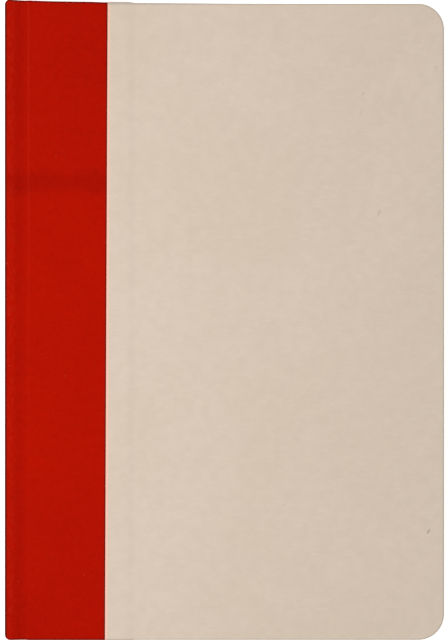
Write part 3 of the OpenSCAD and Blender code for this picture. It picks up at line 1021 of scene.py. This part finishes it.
class NOTEBOOK_OT_ruling(Operator):
    """Print the ruled lines on the first and the last page"""

    bl_idname = "notebook.ruling"
    bl_label = "Ruled lines"

    def execute(self, context):
        ink = printed_ruling()
        size = sizes()
        head_margin, spine_margin, fore_margin = 17 * MM, 7 * MM, 0.3 * MM
        top = PAGES_H / 2 - head_margin
        low_y, high_y = top - size.ruling_width / 2, top + size.ruling_width / 2
        x0, x1 = PAGES_X + spine_margin, PAGES_END_X - fore_margin
        outline = [(x0, low_y), (x1, low_y), (x1, high_y), (x0, high_y)]
        skin = 0.006 * MM
        for side, z in (("first", PAGES_TOP_Z), ("last", PAGES_LOW_Z)):
            line = prism("ruled_line", outline, z - skin, z + skin)
            piece = show(f"{side}_page_ruling", line, ink, smooth=False)
            lines = row_tree(f"{side}_page_lines", (0, -1, 0), ink)
            grow(piece, lines, Count=size.ruling_lines, Spacing=size.ruling_pitch)
            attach(piece, "pages_and_spine")
        return {"FINISHED"}


# Pasted leaves and gauze


def under_leaf(x, y):
    """Thickness of what lies between the board and the pasted leaf."""
    away = np.abs(y)
    soft = 0.9 * MM
    ends = rise(away, WINDOW_H / 2 - soft, WINDOW_H / 2)
    cloth = CLOTH_T * ends * over_cloth(x, away)
    fore_x = PAPER_HIGH.x - SIDE_T - TURN_IN
    paper = SIDE_T * np.maximum(ends * rise(x, LAP_X - soft, LAP_X), rise(x, fore_x - soft, fore_x))
    gauze = GAUZE_T * (1 - rise(x, GAUZE_HIGH.x, GAUZE_HIGH.x + soft))
    gauze = gauze * (1 - rise(away, GAUZE_HIGH.y, GAUZE_HIGH.y + soft))
    dx = np.maximum(x - FORE_X + CORNER_R, 0)
    dy = np.maximum(away - SKIN_H / 2 + CORNER_R, 0)
    turned = np.arctan2(dx, dy) / QUARTER
    folds = 0.6 * pleats(turned, CORNER_R - np.hypot(dx, dy))
    return np.maximum(cloth + paper, gauze) + np.where((dx > 0) & (dy > 0), folds, 0)


def pasted_leaf_grid():
    """Points of the front pasted leaf, from its foot on the pages over the joint and onto the board."""
    corner_x = PAGES_END_X - LEAF_R
    turn_x = FORE_X - TURN_IN
    columns = stations(
        PAGES_X + 0.1 * MM, (44, PAGES_X + 6.6 * MM), (18, LAP_X - 1.5 * MM), (7, LAP_X + 1.5 * MM),
        (14, CLOTH_END_X + 3 * MM), (16, turn_x - 2.5 * MM), (10, turn_x + 1.5 * MM), (6, corner_x),
    )
    columns = join_stations(columns, corner_x + LEAF_R * np.sin(np.linspace(0, QUARTER, 14)[1:]))
    half = PAGES_H / 2
    rows = stations(0, (16, 83 * MM), (24, 92 * MM), (14, half - 0.2 * MM))
    rows = join_stations(rows, [half]) / half
    rows = np.concatenate([-rows[::-1], rows[1:]])
    reach = half - arc_drop(np.clip(columns - corner_x, 0, LEAF_R), LEAF_R)
    x = np.repeat(columns[:, None], len(rows), 1)
    y = reach[:, None] * rows[None, :]
    pasted = BOARD_IN_Z - under_leaf(x, y) - LEAF_T
    foot = PAGES_TOP_Z + 0.005 * MM
    z = foot + (pasted - foot) * rise(x, PAGES_X + 2.2 * MM, PAGES_X + 5.6 * MM)
    return np.stack([x, y, z], -1)


def gauze_grid():
    """Points of the front gauze flange: round the edge of the pages, over the joint and onto the board."""
    start_x = SPINE_GAUZE_LOW.x
    level = BOARD_IN_Z - GAUZE_T
    bend = 0.5 * MM
    line = [(start_x, PAGES_TOP_Z)]
    for a in np.linspace(math.pi, QUARTER, 7)[1:]:
        line.append((start_x + bend * (1 + math.cos(a)), level - bend + bend * math.sin(a)))
    line += [(x, level) for x in np.linspace(start_x + 0.8 * MM, PAGES_X + 6.4 * MM, 24)]
    line += [(x, level) for x in np.linspace(PAGES_X + 6.4 * MM, GAUZE_HIGH.x, 10)[1:]]
    half = (GAUZE_HIGH.y - GAUZE_LOW.y) / 2
    return np.array([[(x, y, z) for y in np.linspace(-half, half, 40)] for x, z in line])


def over_joint():
    """Where the pasted leaf and the gauze start and end their bend at the front joint."""
    return (HINGE.x + 0.5 * MM, 0, HINGE.z), (HINGE.x + 6.2 * MM, 0, HINGE.z)


class NOTEBOOK_OT_pasted_leaves(Operator):
    """Paste the outermost leaves over the gauze and the turned-in edges of the covers"""

    bl_idname = "notebook.pasted_leaves"
    bl_label = "Pasted leaves"

    def execute(self, context):
        grid = pasted_leaf_grid()
        paper = writing_paper("pasted_writing_paper")
        hinged_sheets(
            "pasted_leaf", grid, (grid[..., :2],) * 2, paper, LEAF_DRAWN, *over_joint(), "pastedown",
            "{}_pastedown",
        )
        return {"FINISHED"}


class NOTEBOOK_OT_gauze_flanges(Operator):
    """Carry the gauze from the spine of the pages over each joint and under the pasted leaf"""

    bl_idname = "notebook.gauze_flanges"
    bl_label = "Gauze flanges"

    def execute(self, context):
        grid = gauze_grid()
        hinged_sheets(
            "gauze_flange", grid, (grid[..., :2],) * 2, open_gauze(), GAUZE_DRAWN, *over_joint(), "gauze",
            "{}_gauze",
        )
        return {"FINISHED"}


# Head and tail bands


def winding(bead_r, pitch, sign):
    """The lowest turn of thread round the bead at the head or the tail, a ring that tilts a little."""
    x0, y0 = (BAND_LOW.x + BAND_HIGH.x) / 2, sign * (PAGES_H / 2 + bead_r)
    cord_r, tilt = 0.56 * pitch, 0.22 * pitch
    around, across = 20, 8
    points, faces = [], []
    for i in range(around):
        a = 2 * math.pi * i / around
        for j in range(across):
            b = 2 * math.pi * j / across
            r = bead_r - cord_r * 0.8 * (1 - math.cos(b))
            z = PAGES_LOW_Z + pitch / 2 + cord_r * math.sin(b) + tilt * math.sin(a)
            points.append((x0 + r * math.cos(a), y0 + r * math.sin(a), z))
            here, there = i * across, (i + 1) % around * across
            faces.append((here + j, there + j, there + (j + 1) % across, here + (j + 1) % across))
    return plain_mesh("winding", points, faces)


class NOTEBOOK_OT_bands(Operator):
    """Wind the beads of the head and tail bands and lay their tapes down the spine of the pages"""

    bl_idname = "notebook.bands"
    bl_label = "Head and tail bands"

    def execute(self, context):
        cotton = wound_cotton()
        pitch = sizes().winding_pitch
        bead_r = (BAND_HIGH.x - BAND_LOW.x) / 2
        turns = int(PAGES_T / pitch)
        tape_reach = 12 * MM
        tape_z = np.linspace(PAGES_LOW_Z + 0.1 * MM, PAGES_TOP_Z - 0.1 * MM, 20)
        for side, sign in (("head", 1), ("tail", -1)):
            bead = show(f"{side}_band_winding", winding(bead_r, pitch, sign), cotton)
            row = row_tree(f"{side}_band_turns", (0, 0, 1), cotton)
            grow(bead, row, Count=turns, Spacing=PAGES_T / turns)
            tape_y = np.linspace(PAGES_H / 2 - tape_reach, PAGES_H / 2 + bead_r * 0.6, 12) * sign
            grid = np.array([[(BAND_LOW.x + 0.02 * MM, y, z) for z in tape_z] for y in tape_y])
            mesh = grid_mesh(f"{side}_tape", grid, grid[..., 1:], sign < 0)
            tape = show(f"{side}_band_tape", mesh, cotton)
            thicken(tape, TAPE_DRAWN)
            for piece in (bead, tape):
                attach(piece, "pages_and_spine")
            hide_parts(f"{side}_band")
        return {"FINISHED"}


# Boards, lining and thread


class NOTEBOOK_OT_inner_finishes(Operator):
    """Give the boards, the linings and the sewing their finishes"""

    bl_idname = "notebook.inner_finishes"
    bl_label = "Boards, linings and sewing"

    def execute(self, context):
        for material, names in (
            (grey_board(), ("front_board", "back_board", "spine_board")),
            (kraft_lining(), ("spine_lining",)),
            (open_gauze(), ("spine_gauze",)),
            (wound_cotton(), ("sewing_thread",)),
        ):
            for name in names:
                for finish in frame["nodes"][name].material_slots:
                    finish.material = material
        return {"FINISHED"}


# Stage


def seen_as_background(add):
    """1 for the rays that show the background: from the camera, in a gloss and through clear things."""
    ray = add("LightPath").outputs
    seen = add("Math MAXIMUM", ray["Is Camera Ray"], ray["Is Glossy Ray"])
    return add("Math MAXIMUM", seen, ray["Is Transmission Ray"])


def paper_roll():
    """White paper roll: the camera sees it white, with the notebook's shadow where it is deep."""
    material, add = empty_material("white_paper_roll")
    matt = add("BsdfDiffuse", Color=(0.8, 0.8, 0.8, 1))
    glow = add("Emission", Color=(1, 1, 1, 1), Strength=0.62)
    lit = add("AddShader", matt, glow)
    shown = add("MixShader", seen_as_background(add), matt, lit)
    add("OutputMaterial", Surface=shown)
    return material


class NOTEBOOK_OT_stage(Operator):
    """Lay a white floor, light it softly from the left and look straight down on the front cover"""

    bl_idname = "notebook.stage"
    bl_label = "Stage, light and camera"

    def execute(self, context):
        scene = context.scene
        scene.view_settings.view_transform = "Standard"

        far = 4.0
        corners = [(-far, -far, 0), (far, -far, 0), (far, far, 0), (-far, far, 0)]
        floor = show("floor", plain_mesh("floor", corners, [(0, 1, 2, 3)]), paper_roll(), smooth=False)

        world = bpy.data.worlds.new("soft_white_room")
        scene.world = world
        world.use_nodes = True
        world.node_tree.nodes.clear()
        add = partial(node, world.node_tree)
        room = add("Background", Color=(1, 1, 1, 1), Strength=0.605)
        white = add("Background", Color=(1, 1, 1, 1), Strength=1.0)
        add("OutputWorld", Surface=add("MixShader", seen_as_background(add), room, white))

        lamp = bpy.data.lights.new("softbox_left", "AREA")
        lamp.shape = "RECTANGLE"
        lamp.size, lamp.size_y = 0.3, 0.4
        lamp.energy = 1.42
        softbox = linked("softbox_left", lamp)
        softbox.location = (-0.26, 0.0, 0.46)
        softbox.rotation_euler = softbox.location.to_track_quat("Z", "Y").to_euler()

        lens = bpy.data.cameras.new("copy_camera")
        lens.lens = 120
        lens.clip_start, lens.clip_end = 0.01, 20
        camera = linked("copy_camera", lens)
        picture_h = 211 * MM
        distance = picture_h * lens.lens / lens.sensor_width
        camera.location = (-0.09 * MM, 0.6 * MM, TOTAL_T + distance)
        scene.camera = camera
        return {"FINISHED"}


# Panel and run


class NOTEBOOK_PT_panel(Panel):
    """Pieces of the lined notebook"""

    bl_idname = "NOTEBOOK_PT_panel"
    bl_label = "Lined notebook"
    bl_space_type = "VIEW_3D"
    bl_region_type = "UI"
    bl_category = "Notebook"

    def draw(self, context):
        props = context.scene.lined_notebook
        for group in (props.sizes, props.colours):
            box = self.layout.box()
            for name in group.bl_rna.properties.keys():
                if name not in {"rna_type", "name"}:
                    box.prop(group, name)
        for piece in PIECES:
            self.layout.operator(piece.bl_idname)


PIECES = (
    NOTEBOOK_OT_spine_cloth,
    NOTEBOOK_OT_side_papers,
    NOTEBOOK_OT_pages,
    NOTEBOOK_OT_ruling,
    NOTEBOOK_OT_pasted_leaves,
    NOTEBOOK_OT_gauze_flanges,
    NOTEBOOK_OT_bands,
    NOTEBOOK_OT_inner_finishes,
    NOTEBOOK_OT_stage,
)
CLASSES = (NotebookSizes, NotebookColours, NotebookProps, *PIECES, NOTEBOOK_PT_panel)


def register():
    for item in CLASSES:
        bpy.utils.register_class(item)
    bpy.types.Scene.lined_notebook = PointerProperty(type=NotebookProps)


def unregister():
    del bpy.types.Scene.lined_notebook
    for item in reversed(CLASSES):
        bpy.utils.unregister_class(item)


def main():
    register()
    bpy.ops.notebook.spine_cloth()
    bpy.ops.notebook.side_papers()
    bpy.ops.notebook.pages()
    bpy.ops.notebook.ruling()
    bpy.ops.notebook.pasted_leaves()
    bpy.ops.notebook.gauze_flanges()
    bpy.ops.notebook.bands()
    bpy.ops.notebook.inner_finishes()
    bpy.ops.notebook.stage()


if __name__ == "__main__":
    main()
